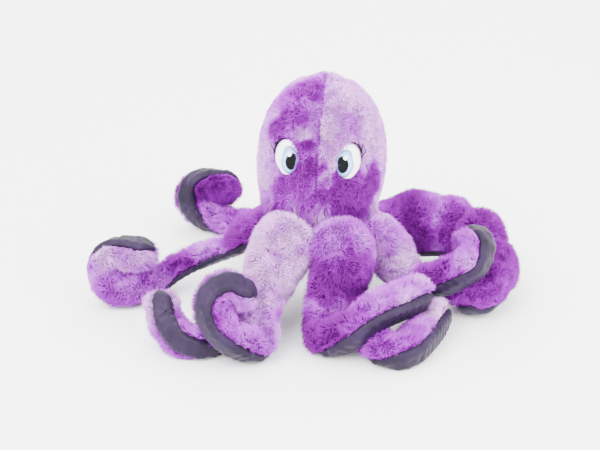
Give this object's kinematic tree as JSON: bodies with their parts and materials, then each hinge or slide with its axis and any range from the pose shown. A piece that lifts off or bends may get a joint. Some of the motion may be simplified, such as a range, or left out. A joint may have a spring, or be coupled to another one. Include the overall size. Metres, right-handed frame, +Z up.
{
  "type": "plush octopus toy",
  "caption": "Soft pile-fabric octopus toy with a stuffed egg-shaped head, sewn eyes and curled stuffed legs with smooth sole strips, each bending at its root seam.",
  "frame": {"origin": "on the floor plane, at the middle of the object's box", "axes": "+Z up, the face looks along -Y, and the pale half of the head is on the +X side"},
  "size_m": [0.42, 0.3418, 0.2222],
  "materials": {
    "plush_left_half": "matte",
    "plush_right_half": "matte",
    "plush_legs": "matte",
    "sole_fabric": "satin",
    "stuffing": "matte",
    "squeaker_case": "satin",
    "squeaker_reed": "gloss",
    "eye_white": "satin",
    "eye_iris": "satin",
    "eye_pupil": "satin",
    "eye_glint": "satin",
    "eye_lash": "satin"
  },
  "bodies": {
    "head": {"head_left_half": "plush_left_half", "head_right_half": "plush_right_half", "head_stuffing": "stuffing", "base_panel": "sole_fabric", "squeaker_case": "squeaker_case", "squeaker_reed": "squeaker_reed", "eye_white_left": "eye_white", "eye_lash_left": "eye_lash", "eye_iris_left": "eye_iris", "eye_pupil_left": "eye_pupil", "eye_glint_left": "eye_glint", "eye_white_right": "eye_white", "eye_lash_right": "eye_lash", "eye_iris_right": "eye_iris", "eye_pupil_right": "eye_pupil", "eye_glint_right": "eye_glint"},
    "front_left_leg": {"front_left_leg_cover": "plush_legs", "front_left_leg_sole": "sole_fabric", "front_left_leg_stuffing": "stuffing"},
    "low_left_leg": {"low_left_leg_cover": "plush_legs", "low_left_leg_sole": "sole_fabric", "low_left_leg_stuffing": "stuffing"},
    "side_left_leg": {"side_left_leg_cover": "plush_legs", "side_left_leg_sole": "sole_fabric", "side_left_leg_stuffing": "stuffing"},
    "back_left_leg": {"back_left_leg_cover": "plush_legs", "back_left_leg_sole": "sole_fabric", "back_left_leg_stuffing": "stuffing"},
    "front_right_leg": {"front_right_leg_cover": "plush_legs", "front_right_leg_sole": "sole_fabric", "front_right_leg_stuffing": "stuffing"},
    "low_right_leg": {"low_right_leg_cover": "plush_legs", "low_right_leg_sole": "sole_fabric", "low_right_leg_stuffing": "stuffing"},
    "side_right_leg": {"side_right_leg_cover": "plush_legs", "side_right_leg_sole": "sole_fabric", "side_right_leg_stuffing": "stuffing"},
    "back_right_leg": {"back_right_leg_cover": "plush_legs", "back_right_leg_sole": "sole_fabric", "back_right_leg_stuffing": "stuffing"}
  },
  "joints": [
    {"name": "front_left_lift", "type": "hinge", "parent": "head", "child": "front_left_leg", "pos_m": [-0.00985, -0.05628, 0.0835], "axis": [-0.8513, 0.5247, 0], "range_deg": [0, 21]},
    {"name": "low_left_lift", "type": "hinge", "parent": "head", "child": "low_left_leg", "pos_m": [-0.00211, -0.0233, 0.0815], "axis": [-0.7034, 0.7108, 0], "range_deg": [0, 10.5]},
    {"name": "side_left_lift", "type": "hinge", "parent": "head", "child": "side_left_leg", "pos_m": [-0.02958, -0.01594, 0.08036], "axis": [-0.0006, 1, 0], "range_deg": [0, 40]},
    {"name": "back_left_lift", "type": "hinge", "parent": "head", "child": "back_left_leg", "pos_m": [-0.01043, 0.01892, 0.06943], "axis": [0.8395, 0.5433, 0], "range_deg": [0, 24]},
    {"name": "front_right_lift", "type": "hinge", "parent": "head", "child": "front_right_leg", "pos_m": [0.03489, -0.06075, 0.08179], "axis": [-0.9179, -0.3968, 0], "range_deg": [0, 24]},
    {"name": "low_right_lift", "type": "hinge", "parent": "head", "child": "low_right_leg", "pos_m": [0.03368, -0.02687, 0.08013], "axis": [-0.8544, -0.5197, 0], "range_deg": [0, 12]},
    {"name": "side_right_lift", "type": "hinge", "parent": "head", "child": "side_right_leg", "pos_m": [0.06178, -0.02555, 0.07494], "axis": [-0.3584, -0.9336, 0], "range_deg": [0, 25]},
    {"name": "back_right_sweep", "type": "hinge", "parent": "head", "child": "back_right_leg", "pos_m": [0.04924, 0.01296, 0.06716], "axis": [0, 0, 1], "range_deg": [0, 25]}
  ],
  "couplings": [
    {"joint": "low_left_lift", "follows": "front_left_lift", "ratio": 0.5},
    {"joint": "low_right_lift", "follows": "front_right_lift", "ratio": 0.5}
  ]
}
